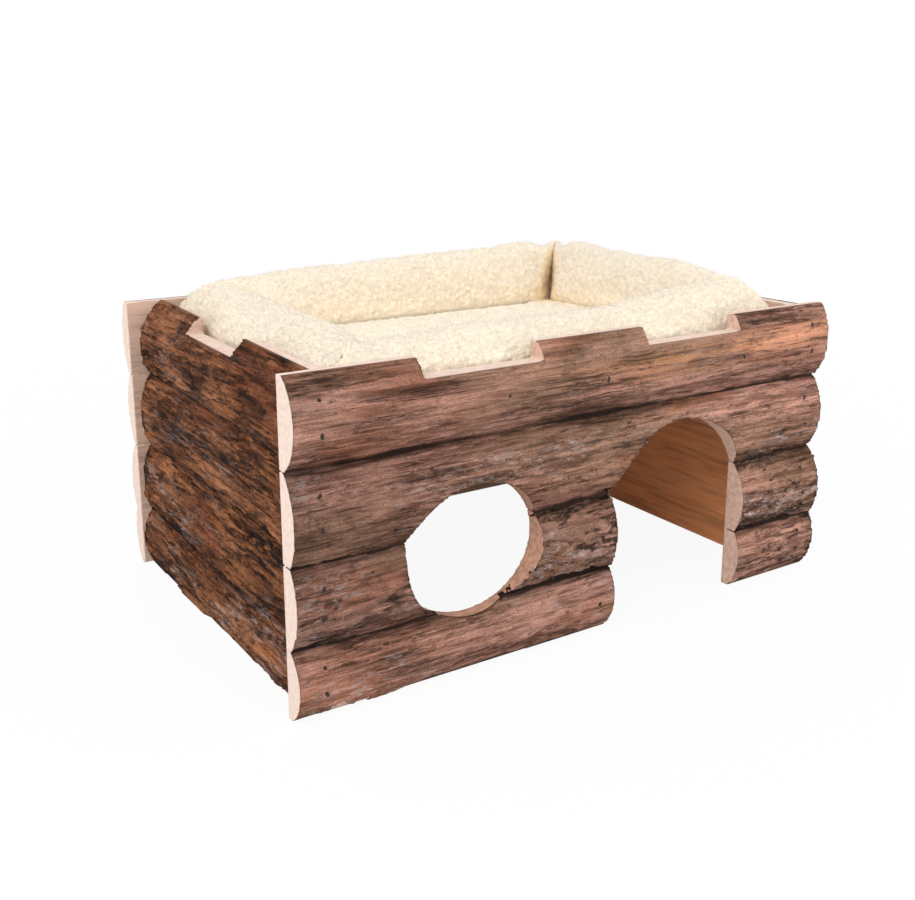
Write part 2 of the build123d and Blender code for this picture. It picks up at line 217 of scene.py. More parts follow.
class Nodes:
    """Adds nodes to a node tree and links them as they are named."""

    def __init__(self, tree):
        self.tree = tree

    def add(self, kind, inputs=None, **settings):
        """New node of a kind, with settings, and constants or sockets for its inputs by name or number."""
        node = self.tree.nodes.new(kind)
        for name, value in settings.items():
            setattr(node, name, value)
        for key, value in (inputs or {}).items():
            self.feed(node.inputs[key], value)
        return node

    def feed(self, socket, value):
        """Links a socket into an input, or sets the input to a constant."""
        if isinstance(value, bpy.types.NodeSocket):
            self.tree.links.new(value, socket)
        else:
            socket.default_value = value

    def math(self, operation, first, *others):
        """Output of an operation on one number, or on several in turn."""
        for other in others or (0.0,):
            first = self.add("ShaderNodeMath", {0: first, 1: other}, operation=operation).outputs[0]
        return first

    def times(self, *numbers):
        """Product of numbers."""
        return self.math("MULTIPLY", *numbers)

    def plus(self, *numbers):
        """Sum of numbers."""
        return self.math("ADD", *numbers)

    def minus(self, first, second):
        """One number less another."""
        return self.math("SUBTRACT", first, second)

    def apart(self, first, second):
        """How far two numbers are apart."""
        return self.math("ABSOLUTE", self.minus(first, second))

    def vector(self, operation, first, second):
        """Output of an operation on vectors."""
        return self.add("ShaderNodeVectorMath", {0: first, 1: second}, operation=operation).outputs[0]

    def scaled(self, vector, factor):
        """A vector times a number."""
        return self.add("ShaderNodeVectorMath", {0: vector, "Scale": factor}, operation="SCALE").outputs[0]

    def axis(self, vector, number):
        """One of a vector's three numbers."""
        return self.add("ShaderNodeSeparateXYZ", {0: vector}).outputs[number]

    def remap(self, value, low, high, to_low=0.0, to_high=1.0, smooth=True):
        """A number moved from one range to another and held inside it."""
        return self.add("ShaderNodeMapRange", {0: value, 1: low, 2: high, 3: to_low, 4: to_high},
                        interpolation_type="SMOOTHSTEP" if smooth else "LINEAR").outputs[0]

    def noise(self, place, per_metre, detail=3.0, roughness=0.55, distortion=0.0):
        """Fractal noise between 0 and 1 at a place."""
        return self.add("ShaderNodeTexNoise", {
            "Vector": place, "Scale": per_metre, "Detail": detail, "Roughness": roughness,
            "Distortion": distortion}).outputs[0]

    def swirl(self, place, per_metre, detail):
        """Fractal noise with three numbers between 0 and 1."""
        return self.add("ShaderNodeTexNoise", {
            "Vector": place, "Scale": per_metre, "Detail": detail}).outputs[1]

    def warped(self, place, per_metre, detail, reach):
        """A place pushed about by noise."""
        way = self.vector("SUBTRACT", self.swirl(place, per_metre, detail), (0.5, 0.5, 0.5))
        return self.vector("ADD", place, self.scaled(way, reach))

    def cells(self, place, per_metre, **settings):
        """Outputs of a pattern of cells."""
        return self.add("ShaderNodeTexVoronoi", {"Vector": place, "Scale": per_metre}, **settings).outputs

    def mix(self, factor, first, second, blend="MIX"):
        """Colour between two, or one laid over the other."""
        node = self.add("ShaderNodeMix", data_type="RGBA", blend_type=blend)
        for key, value in ((0, factor), (6, first), (7, second)):
            self.feed(node.inputs[key], value)
        return node.outputs[2]

    def ramp(self, factor, stops):
        """Colour read off a ramp of (place, colour) stops."""
        node = self.add("ShaderNodeValToRGB", {0: factor})
        elements = node.color_ramp.elements
        while len(elements) < len(stops):
            elements.new(0.5)
        for element, (place, colour) in zip(elements, stops):
            element.position = place
            element.color = colour
        return node.outputs[0]

    def stored(self, name):
        """In a material, a number that the mesh stores."""
        return self.add("ShaderNodeAttribute", attribute_name=name).outputs["Fac"]

    def seen_directly(self):
        """In a material or the world, 1 for what the camera sees itself, in a mirror or through glass."""
        path = self.add("ShaderNodeLightPath").outputs
        return self.math("MAXIMUM", path["Is Camera Ray"], path["Is Glossy Ray"], path["Is Transmission Ray"])

    def named(self, name, kind="FLOAT"):
        """In a geometry tree, a value that the mesh stores."""
        return self.add("GeometryNodeInputNamedAttribute", {"Name": name}, data_type=kind).outputs[0]

    def kept(self, geometry, name, value):
        """Geometry with a number stored on each point."""
        return self.add("GeometryNodeStoreNamedAttribute", {
            "Geometry": geometry, "Name": name, "Value": value}, data_type="FLOAT", domain="POINT").outputs[0]

    def moved(self, geometry, offset):
        """Geometry with each point moved."""
        return self.add("GeometryNodeSetPosition", {"Geometry": geometry, "Offset": offset}).outputs[0]

    def turned(self, rotation, least, most, seed):
        """A rotation with a random turn about its own axes added."""
        turn = self.add("FunctionNodeRandomValue", {0: least, 1: most, "Seed": seed},
                        data_type="FLOAT_VECTOR").outputs[0]
        euler = self.add("FunctionNodeEulerToRotation", {0: turn}).outputs[0]
        return self.add("FunctionNodeRotateRotation", {0: rotation, 1: euler},
                        rotation_space="LOCAL").outputs[0]

    def end(self, geometry, material):
        """Ends a geometry tree: instances made real, in a material."""
        real = self.add("GeometryNodeRealizeInstances", {"Geometry": geometry}).outputs[0]
        last = self.add("GeometryNodeSetMaterial", {"Geometry": real, "Material": material}).outputs[0]
        self.add("NodeGroupOutput", {0: last})


def rgba(colour, factor=1.0):
    """A colour as four numbers, lighter or darker by a factor."""
    return (*(min(1.0, c * factor) for c in colour), 1.0)


def new_material(name, roughness, specular=0.5):
    """Node material, with its Nodes helper, its shader and the Object coordinates."""
    material = bpy.data.materials.new(name)
    material.use_nodes = True
    nodes = Nodes(material.node_tree)
    shader = material.node_tree.nodes["Principled BSDF"]
    shader.inputs["Roughness"].default_value = roughness
    shader.inputs["Specular IOR Level"].default_value = specular
    return material, nodes, shader, nodes.add("ShaderNodeTexCoord").outputs["Object"]


def surfaced(nodes, shader, colour, height, distance):
    """Gives a shader its colour and fine relief."""
    normal = nodes.add("ShaderNodeBump", {"Height": height, "Strength": 1.0, "Distance": distance}).outputs[0]
    nodes.feed(shader.inputs["Base Color"], colour)
    nodes.feed(shader.inputs["Normal"], normal)


def grain_vector(wall, along):
    """How much a pattern is drawn out along a wall's logs."""
    return (along, 1.0, 1.0) if wall in LONG_WALLS else (1.0, along, 1.0)


def orange_streaks(nodes, place, torn_place, colour, settings):
    """Colour with the streaks along the front wall's top slab, which climb a little to the right."""
    across = nodes.axis(place, 0)
    middle = nodes.plus(nodes.times(across, 0.035), settings.streak_height)
    beside = nodes.apart(nodes.axis(place, 2), middle)
    torn = nodes.remap(nodes.noise(torn_place, 330, 4), 0.42, 0.56)
    band = nodes.times(nodes.remap(beside, 0.003, 0.014, 1.0, 0.0), nodes.remap(across, -0.06, 0.05), torn)
    core = nodes.times(nodes.remap(beside, 0.0, 0.0035, 0.8, 0.0), nodes.remap(across, 0.0, 0.08), torn)
    return nodes.mix(core, nodes.mix(band, colour, rgba(settings.streak)), rgba(settings.streak, 1.25))


def bark_material(wall):
    """Bark with long streaks, cracks, warm patches and grey flecks; sawn wood where the slab is cut."""
    settings = bpy.context.scene.house_bark
    wood = bpy.context.scene.house_wood
    long_wall = wall in LONG_WALLS
    light, warm, mid, dark, olive = (getattr(settings, f"{'long' if long_wall else 'side'}_{shade}")
                                     for shade in ("light", "warm", "mid", "dark", "olive"))
    material, nodes, shader, place = new_material(f"bark_{wall}", 0.85, 0.2)
    relief, rough, log, shade, skin, cut, valley = (
        nodes.stored(name) for name in ("relief", "rough", "log", "shade", "skin", "cut", "valley"))
    own = nodes.vector("ADD", place, nodes.scaled(LOG_SHIFT, log))

    def drawn(along):
        """The log's own coordinates, drawn out along its grain."""
        return nodes.vector("MULTIPLY", own, grain_vector(wall, along))

    broad = nodes.noise(drawn(0.3), 30, 6, 0.62)
    streaks = nodes.noise(drawn(0.075), 270, 8, 0.7, 0.6)
    fibres = nodes.noise(drawn(0.035), 850, 4, 0.65)
    tone = nodes.plus(nodes.times(broad, 0.33), nodes.times(streaks, 0.45), nodes.times(fibres, 0.22))
    stops = (0.39, 0.45, 0.52, 0.59) if long_wall else (0.435, 0.475, 0.535, 0.59)
    colour = nodes.ramp(tone, list(zip(stops, (rgba(dark), rgba(mid), rgba(light), rgba(light, 1.4)))))

    patches = nodes.remap(nodes.noise(drawn(0.3), 36, 4), 0.5, 0.66, 0.0, 0.6)
    warmer = nodes.mix(0.5, rgba(warm), nodes.mix(1.0, colour, rgba(warm, 2.0), "MULTIPLY"))
    colour = nodes.mix(patches, colour, warmer)
    if wall == "front":
        colour = orange_streaks(nodes, place, drawn(0.03), colour, settings)
    zones = nodes.remap(nodes.noise(drawn(0.3), 17, 4), 0.42, 0.6, 0.0, 0.85)
    colour = nodes.mix(zones, colour, rgba(olive), "MULTIPLY")
    bands = nodes.remap(nodes.noise(drawn(0.07), 125, 5, 0.62), 0.5, 0.64, 0.0, 0.85)
    colour = nodes.mix(bands, colour, BAND_TINT, "MULTIPLY")
    grit = nodes.remap(nodes.noise(own, 1100, 3, 0.7), 0.35, 0.65, 0.72, 1.22, smooth=False)
    colour = nodes.mix(1.0, colour, grit, "MULTIPLY")

    crack = nodes.apart(nodes.noise(drawn(0.045), 130, 4, 0.6, 0.3), 0.5)
    cracks = nodes.times(nodes.remap(crack, 0.0, 0.016, 1.0, 0.0), nodes.remap(broad, 0.56, 0.42, 0.1, 0.7))
    colour = nodes.mix(cracks, colour, rgba(dark, 0.6))
    pushed = nodes.vector("ADD", drawn(0.2), nodes.scaled(nodes.swirl(own, 120, 3), 0.012))
    web = nodes.cells(pushed, 95, feature="DISTANCE_TO_EDGE")["Distance"]
    crazed = nodes.times(nodes.remap(web, 0.0, 0.05, 1.0, 0.0),
                         nodes.remap(nodes.noise(own, 55, 3), 0.5, 0.62, 0.0, 0.5))
    colour = nodes.mix(crazed, colour, rgba(dark, 0.7))
    speck = nodes.remap(nodes.cells(drawn(0.6), 120)["Distance"], 0.07, 0.17, 0.9, 0.0)
    specks = nodes.times(speck, nodes.remap(rough, 0.1, 1.0, 0.4, 1.0))
    colour = nodes.mix(specks, colour, rgba(dark, 0.5))

    field = nodes.remap(nodes.noise(drawn(0.35), 38, 3), 0.44, 0.6)
    long_fleck, most = (0.3, 0.95) if long_wall else (0.08, 0.6)
    fleck = nodes.remap(nodes.noise(drawn(long_fleck), 330, 7, 0.78), 0.49, 0.62, 0.0, most)
    colour = nodes.mix(nodes.times(field, fleck, rough), colour, rgba(settings.lichen))
    # Painted shade beside the joints between slabs
    colour = nodes.mix(valley, colour, JOINT_SHADE_TINT, "MULTIPLY")
    # Painted shade: the bark darkens in the hollows of its relief, most in the furrows at the joints
    deep = nodes.remap(relief, -2.9 if long_wall else -3.4, -0.9, 0.9, 0.0)
    colour = nodes.mix(deep, colour, rgba(dark, 0.35))
    colour = nodes.mix(1.0, colour, shade, "MULTIPLY")

    rings = nodes.noise(nodes.vector("MULTIPLY", place, (0.5, 1.0, 1.0)), 330, 3)
    fresh = nodes.ramp(rings, [(0.35, rgba(wood.sawn, 0.86)), (0.6, rgba(wood.sawn))])
    # The rim's darker tone is painted shade on the cut faces between the ends
    rim = nodes.ramp(rings, [(0.35, rgba(wood.rim, 0.75)), (0.62, rgba(wood.rim, 1.15))])
    edge = nodes.plus(skin, nodes.times(nodes.minus(rings, 0.5), 0.5))
    colour = nodes.mix(nodes.remap(edge, 0.42, 0.58), nodes.mix(cut, fresh, rim), colour)
    ragged = nodes.minus(nodes.plus(fibres, streaks), nodes.times(cracks, 0.8))
    height = nodes.times(ragged, nodes.remap(skin, 0.2, 0.8, 0.1, 1.0))
    surfaced(nodes, shader, colour, height, 0.0015 if long_wall else 0.0022)
    return material


def wood_material(name, colour, grain, contrast=0.3, lines=260, above_board=None):
    """Wood with grain lines along it, in a colour of its own above the roof board if one is given."""
    material, nodes, shader, place = new_material(name, 0.68, 0.3)
    drawn = nodes.vector("MULTIPLY", place, grain)
    wavy = nodes.noise(drawn, lines * 0.12, 3, 0.5)
    line = nodes.noise(drawn, lines, 4, 0.6, 0.6)
    tone = nodes.plus(nodes.times(wavy, 0.5), nodes.times(line, 0.5))
    darker, lighter = 1 - contrast, 1 + contrast * 0.4
    shades = [nodes.ramp(tone, [(0.32, rgba(c, darker)), (0.5, rgba(c)), (0.66, rgba(c, lighter))])
              for c in (colour, above_board) if c]
    # Above the roof board the wood takes its own colour; below it the colour can hold painted light for the
    # shaded inside
    if above_board:
        above = nodes.remap(nodes.axis(place, 2), room.z - 0.006, room.z - 0.002)
        shades = [nodes.mix(above, *shades)]
    surfaced(nodes, shader, shades[0], line, 0.0003)
    return material


def merged(node):
    """Editable copy of a CAD node's mesh, with its loose triangles joined at their corners."""
    work = bmesh.new()
    work.from_mesh(frame["nodes"][node].data)
    bmesh.ops.remove_doubles(work, verts=work.verts, dist=1e-6)
    return work


def merged_copy(name, node):
    """Mesh of a CAD node, with its triangles joined."""
    mesh = bpy.data.meshes.new(name)
    work = merged(node)
    work.to_mesh(mesh)
    work.free()
    return mesh


def new_object(name, mesh):
    """Object for a mesh, linked to the scene."""
    piece = bpy.data.objects.new(name, mesh)
    bpy.context.scene.collection.objects.link(piece)
    return piece


def applied(piece):
    """The piece's mesh as its modifiers leave it; the modifiers are removed."""
    depsgraph = bpy.context.evaluated_depsgraph_get()
    mesh = bpy.data.meshes.new_from_object(piece.evaluated_get(depsgraph), depsgraph=depsgraph)
    piece.modifiers.clear()
    old = piece.data
    piece.data = mesh
    bpy.data.meshes.remove(old)
    mesh.name = piece.name
    return mesh


def remeshed(piece, size):
    """Even mesh over a closed piece."""
    modifier = piece.modifiers.new("even", "REMESH")
    modifier.mode = "VOXEL"
    modifier.voxel_size = size
    return applied(piece)


def coordinates(mesh):
    """Vertices of a mesh as an array."""
    flat = np.empty(len(mesh.vertices) * 3, np.float32)
    mesh.vertices.foreach_get("co", flat)
    return flat.reshape(-1, 3)


def store(mesh, name, values):
    """Stores a number or a vector on each vertex."""
    kind, field = ("FLOAT", "value") if values.ndim == 1 else ("FLOAT_VECTOR", "vector")
    attribute = mesh.attributes.new(name, kind, "POINT")
    attribute.data.foreach_set(field, values.astype(np.float32).ravel())


def surface_tree(mesh, wanted=lambda polygon: True):
    """Search tree over the polygons of a mesh that are wanted."""
    polygons = [tuple(p.vertices) for p in mesh.polygons if wanted(p)]
    return BVHTree.FromPolygons([v.co for v in mesh.vertices], polygons)


def nearest(tree, points):
    """Places on a search tree's surface that are nearest to some points, and its normals there."""
    found = [tree.find_nearest(Vector(p)) for p in points]
    return [np.array([hit[part] for hit in found], np.float32) for part in range(2)]


def distances(tree, points):
    """Distance of each point from a search tree's surface."""
    return np.array([tree.find_nearest(Vector(p))[3] for p in points], np.float32)


def share(values, none, full, least=0):
    """How far values have come from one number, where the share is 0, to another, where it is 1 and stays."""
    return np.clip((values - none) / (full - none), least, 1)


def group_tree(name, inputs):
    """Geometry Nodes group with named inputs and their defaults, its Nodes helper and its inputs."""
    tree = bpy.data.node_groups.new(name, "GeometryNodeTree")
    tree.is_modifier = True
    tree.interface.new_socket("Geometry", in_out="INPUT", socket_type="NodeSocketGeometry")
    for label, default in inputs.items():
        socket = tree.interface.new_socket(label, in_out="INPUT", socket_type=SOCKETS[type(default)])
        if default is not None:
            socket.default_value = default
    tree.interface.new_socket("Geometry", in_out="OUTPUT", socket_type="NodeSocketGeometry")
    nodes = Nodes(tree)
    return tree, nodes, nodes.add("NodeGroupInput").outputs


def grow(piece, tree, values):
    """Adds a Geometry Nodes modifier with its inputs set, and applies it."""
    modifier = piece.modifiers.new(tree.name, "NODES")
    modifier.node_group = tree
    for item in tree.interface.items_tree:
        if item.in_out == "INPUT" and item.name in values:
            modifier[item.identifier] = values[item.name]
    return applied(piece)


def bark_tree():
    """Raises bark on a slab: broad swellings, plates with cracks, long fibres and a furrow at each joint."""
    tree, nodes, given = group_tree("bark_relief", {
        "Grain": (1.0, 1.0, 1.0), "Fibre grain": (1.0, 1.0, 1.0), "Log": 0.0, "Swell": 0.002, "Plates": 0.001,
        "Plate size": 0.01, "Ridges": 0.0, "Fibres": 0.0005, "Furrow": 0.003, "Low edge": 0.0,
        "High edge": 0.05, "Top furrow": 1.0, "Valley": 1.0, "Rough": 0.0, "Shade": 1.0, "Shade slope": 0.0})
    position = nodes.add("GeometryNodeInputPosition").outputs[0]
    height = nodes.axis(position, 2)
    place = nodes.vector("ADD", position, nodes.scaled(LOG_SHIFT, given["Log"]))
    drawn = nodes.vector("MULTIPLY", place, given["Grain"])
    long_drawn = nodes.vector("MULTIPLY", place, given["Fibre grain"])
    warped = nodes.warped(drawn, 90, 3, 0.012)

    def at_joints(below, above, most):
        """How near a point is to the joints below and above it, where the share is most at the upper one."""
        low = nodes.remap(nodes.minus(height, given["Low edge"]), 0.0, below, 1.0, 0.0)
        high = nodes.remap(nodes.minus(given["High edge"], height), 0.0, above, most, 0.0)
        return nodes.math("MAXIMUM", low, nodes.times(high, given["Top furrow"]))

    swell = nodes.minus(nodes.noise(drawn, 34, 2), 0.5)
    per_metre = nodes.math("DIVIDE", 1.0, given["Plate size"])
    random = nodes.add("FunctionNodeSeparateColor", {0: nodes.cells(warped, per_metre)["Color"]}).outputs[0]
    edge = nodes.cells(warped, per_metre, feature="DISTANCE_TO_EDGE")["Distance"]
    flat = nodes.remap(edge, 0.0, 0.16)
    gap = nodes.times(nodes.minus(1.0, flat), 0.75)
    plate = nodes.minus(nodes.times(nodes.minus(random, 0.35), flat), gap)
    rolling = nodes.apart(nodes.noise(warped, 100, 5, 0.66), 0.5)
    ridge = nodes.remap(rolling, 0.0, 0.16, -1.0, 0.6, smooth=False)
    pit = nodes.remap(nodes.noise(drawn, 230, 2), 0.62, 0.72)
    fibre = nodes.minus(nodes.noise(long_drawn, 420, 4, 0.6), 0.5)
    uneven = nodes.remap(nodes.noise(drawn, 60, 2), 0.35, 0.6, 0.15, 1.0)
    total = nodes.plus(
        nodes.times(swell, given["Swell"], 2.0),
        nodes.times(plate, given["Plates"]),
        nodes.times(ridge, given["Ridges"]),
        nodes.times(pit, given["Plates"], -1.1),
        nodes.times(fibre, given["Fibres"], 2.0),
        nodes.times(at_joints(0.003, 0.003, 1.0), uneven, given["Furrow"], -1.0))
    raised = nodes.times(total, nodes.named("bark"))
    last = nodes.moved(given["Geometry"], nodes.scaled(nodes.named("outward", "FLOAT_VECTOR"), raised))

    slope = nodes.times(given["Shade slope"], nodes.axis(position, 0))
    broken = nodes.remap(nodes.noise(drawn, 110, 5, 0.65), 0.38, 0.6, 0.1, 1.0)
    # Noise that breaks up the shade painted beside the joints
    millimetres = nodes.times(total, 1000.0)
    for name, value in (
            ("relief", millimetres), ("rough", given["Rough"]), ("log", given["Log"]),
            ("shade", nodes.math("MINIMUM", SHADE_LIMIT, nodes.plus(given["Shade"], slope))),
            ("valley", nodes.times(at_joints(0.017, 0.009, 0.7), given["Valley"], broken))):
        last = nodes.kept(last, name, value)
    nodes.add("NodeGroupOutput", {0: last})
    return tree


def mark_faces(mesh, solid, outward, joints, window, brads, chips):
    """Lays the even mesh on the slab, and marks its bark, its cut edges and its inner face."""
    out = np.array(outward, np.float32)
    points = coordinates(mesh)
    near, normal = nearest(surface_tree(solid), points)
    x, y, z = near.T
    mesh.vertices.foreach_set("co", (points + (near - points) * LAID).ravel())
    facing = normal @ out
    bark = facing > BARK_FACING
    at_joint = np.zeros(len(points), bool)
    for level in joints:
        at_joint |= (np.abs(z - level) < JOINT_REACH) & (np.abs(normal[:, 2]) > 0.9)
    through = near @ out
    at_joint &= through > through.min() + JOINT_EDGE
    rim = (np.hypot(x - window[0], z - window[2]) < RIM_RADIUS) & (out[1] < -0.5)
    between_ends = np.abs(x) < LONG_ENDS if abs(out[1]) > 0.5 else np.abs(y) < SIDE_ENDS
    depth = distances(surface_tree(solid, lambda p: p.normal @ Vector(outward) > BARK_FACING), near)
    upward = (normal[:, 2] > 0.9) & ~at_joint
    layer = np.clip((np.where(upward, UPPER_SKIN, SKIN) - depth) / SKIN_FADE + 0.5, 0, 1)
    plane = [axis for axis in range(3) if abs(out[axis]) < 0.5]
    hole = np.zeros(len(points), bool)
    for centre in brads:
        hole |= np.linalg.norm((near - np.array(centre, np.float32))[:, plane], axis=1) < HOLE_RADIUS
    chipped = np.zeros(len(points), np.float32)
    for middle, level, width, height in chips:
        reach = np.hypot((x - middle) / width, (z - level) / height)
        ragged = 0.35 * np.sin(x * 900) * np.sin(z * 1300 + x * 500)
        chipped = np.maximum(chipped, np.clip((1 - reach - ragged) * 3, 0, 1))
    store(mesh, "bark", bark * (1 - chipped))
    store(mesh, "skin", np.where(bark | at_joint | hole, 1 - chipped, layer))
    # Painted shade: cut faces between the ends, and the window's rim most of all, take the rim's darker tone
    darker = np.where(between_ends, np.where(upward, UPPER_RIM, CUT_RIM), 0.0)
    store(mesh, "cut", np.where(rim, 1.0, np.where(chipped > 0, CHIP_RIM, darker)))
    store(mesh, "outward", np.where(bark[:, None], normal, 0))
    corners = np.empty(len(mesh.loops), np.int32)
    mesh.loops.foreach_get("vertex_index", corners)
    starts = np.empty(len(mesh.polygons), np.int32)
    mesh.polygons.foreach_get("loop_start", starts)
    inner = np.minimum.reduceat(-facing[corners], starts) > INNER_FACING
    mesh.polygons.foreach_set("material_index", inner.astype(np.int32))
    mesh.polygons.foreach_set("use_smooth", np.ones(len(mesh.polygons), bool))


class HOUSE_OT_bark_slabs(bpy.types.Operator):
    """Slabs of the four walls, with bark outside, planed inner faces and sawn ends and edges"""
    bl_idname = "house.bark_slabs"
    bl_label = "Bark slabs"

    def execute(self, context):
        wood = context.scene.house_wood
        tree = bark_tree()
        finishes = {}
        for wall in OUTWARD:
            # Painted light: below the roof board the side walls' inner faces are lighter and more orange than
            # above it, against the shade inside
            planed = wood.planed_long if wall in LONG_WALLS else wood.planed_side
            grain = grain_vector(wall, 0.07)
            inside = wood_material(f"planed_{wall}", planed, grain, 0.6, 240, wood.planed_long)
            finishes[wall] = (bark_material(wall), inside)
        opening = next(o for o in frame["record"]["physics"]["openings"] if o["name"] == "window")
        window = sum((Vector(corner) for corner in opening["box_m"]), Vector()) / 2
        brads = {wall: loose_centres(f"{wall}_brads") for wall in OUTWARD}
        slabs = sorted(n for n in frame["nodes"] if "_slab" in n)
        for number, node in enumerate(slabs):
            wall, level = node.split("_")[:2]
            low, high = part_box(node)
            solid = merged_copy(f"{node}_solid", node)
            piece = new_object(f"{node}_bark", solid.copy())
            mesh = remeshed(piece, context.scene.house_bark.voxel)
            mesh.materials.clear()
            for material in finishes[wall]:
                mesh.materials.append(material)
            joints = [z for z in (low.z, high.z) if 0.001 < z < cad_top - 0.001]
            mark_faces(mesh, solid, OUTWARD[wall], joints, window, brads[wall], CHIPS.get(node, ()))
            bpy.data.meshes.remove(solid)
            grow(piece, tree, self.sizes(node, wall, level, number, context.scene.house_bark))
            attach(piece, "house")
            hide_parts(node)
        return {"FINISHED"}

    def sizes(self, node, wall, level, number, settings):
        """Inputs of the bark's tree for one slab."""
        low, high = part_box(node)
        long_wall = wall in LONG_WALLS
        rough = ROUGHNESS.get(node, USUAL_ROUGHNESS)
        plates = settings.plates if long_wall else settings.side_plates
        deeper = 2.0 if node == "front_lower_slab_middle" else 1.0 if long_wall else 0.25
        return {
            "Grain": grain_vector(wall, 0.2 if long_wall else 0.17),
            "Fibre grain": grain_vector(wall, 0.06),
            "Log": LOG_STEP * number,
            "Swell": settings.swell,
            "Plates": plates * (0.6 + 0.8 * rough),
            "Plate size": 0.009 if long_wall else 0.010,
            "Ridges": settings.ridges * (0.35 + 1.1 * rough ** 2 if long_wall else 1.2),
            "Fibres": settings.fibres,
            "Furrow": settings.furrow * deeper,
            # How much shade is painted beside the joints
            "Valley": 1.0 if long_wall else 0.35,
            "Low edge": -1.0 if level == "base" else low.z,
            "High edge": high.z,
            "Top furrow": 0.35 if level == "top" else 1.0,
            "Rough": rough,
            "Shade": SHADES.get(node, USUAL_SHADE),
            "Shade slope": SHADE_SLOPES.get(node, 0.0),
        }


class HOUSE_OT_posts_and_board(bpy.types.Operator):
    """Posts and roof board of sawn wood"""
    bl_idname = "house.posts_and_board"
    bl_label = "Posts and roof board"

    def execute(self, context):
        board = context.scene.house_wood.board
        upright = wood_material("post_wood", board, (1, 1, 0.1))
        level = wood_material("board_wood", board, (0.1, 1, 1))
        for name, node in frame["nodes"].items():
            if name.endswith("_post") or name == "roof_board":
                node.data.materials.clear()
                node.data.materials.append(level if name == "roof_board" else upright)
        return {"FINISHED"}


def loose_centres(node):
    """Middle of each loose part of a CAD node."""
    work = merged(node)
    left = set(work.verts)
    centres = []
    while left:
        stack, part = [left.pop()], []
        while stack:
            vertex = stack.pop()
            part.append(vertex.co.copy())
            for edge in vertex.link_edges:
                other = edge.other_vert(vertex)
                if other in left:
                    left.remove(other)
                    stack.append(other)
        centres.append(sum(part, Vector()) / len(part))
    work.free()
    return sorted(centres, key=tuple)


def head_tree():
    """Oval brad heads on points, each turned about the wall's outward direction."""
    tree, nodes, given = group_tree("brad_heads", {
        "Outward": (0.0, -1.0, 0.0), "Length": 0.0024, "Width": 0.0014, "Height": 0.001, "Seed": 3,
        "Material": None})
    ball = nodes.add("GeometryNodeMeshUVSphere", {"Segments": 10, "Rings": 6, "Radius": 0.5}).outputs[0]
    size = nodes.add("ShaderNodeCombineXYZ", {
        0: given["Length"], 1: given["Width"], 2: given["Height"]}).outputs[0]
    head = nodes.add("GeometryNodeTransform", {"Geometry": ball, "Scale": size}).outputs[0]
    smooth = nodes.add("GeometryNodeSetShadeSmooth", {"Geometry": head}).outputs[0]
    aim = nodes.add("FunctionNodeAlignRotationToVector", {"Vector": given["Outward"]}, axis="Z").outputs[0]
    rotation = nodes.turned(aim, (0.0, 0.0, 0.9), (0.0, 0.0, 2.3), given["Seed"])
    heads = nodes.add("GeometryNodeInstanceOnPoints", {
        "Points": given["Geometry"], "Instance": smooth, "Rotation": rotation}).outputs[0]
    nodes.end(heads, given["Material"])
    return tree


class HOUSE_OT_brads(bpy.types.Operator):
    """Dark heads of the brads, each pressed into the bark that it holds"""
    bl_idname = "house.brads"
    bl_label = "Brads"

    def execute(self, context):
        wood = context.scene.house_wood
        tree = head_tree()
        steel, nodes, shader, place = new_material("brad_steel", 0.7, 0.15)
        surfaced(nodes, shader, rgba(wood.steel), nodes.noise(place, 2500, 2), 0.0001)
        for number, (wall, outward) in enumerate(OUTWARD.items()):
            bark = [piece for piece in context.scene.objects
                    if piece.name.startswith(f"{wall}_") and piece.name.endswith("_bark")]
            centres = loose_centres(f"{wall}_brads")
            points = [self.on_bark(centre, Vector(outward), bark) for centre in centres]
            mesh = bpy.data.meshes.new(f"{wall}_brad_heads")
            mesh.from_pydata(points, [], [])
            piece = new_object(mesh.name, mesh)
            grow(piece, tree, {
                "Outward": outward, "Length": wood.head_length, "Width": wood.head_width,
                "Height": wood.head_height, "Seed": number, "Material": steel})
            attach(piece, "house")
            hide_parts(f"{wall}_brads")
        return {"FINISHED"}

    def on_bark(self, centre, out, bark):
        """Point of the bark's surface in front of a brad."""
        reach = 0.02
        hits = [piece.ray_cast(centre + out * reach, -out, distance=2 * reach) for piece in bark]
        return max((hit[1] for hit in hits if hit[0]), key=lambda place: place @ out, default=centre)


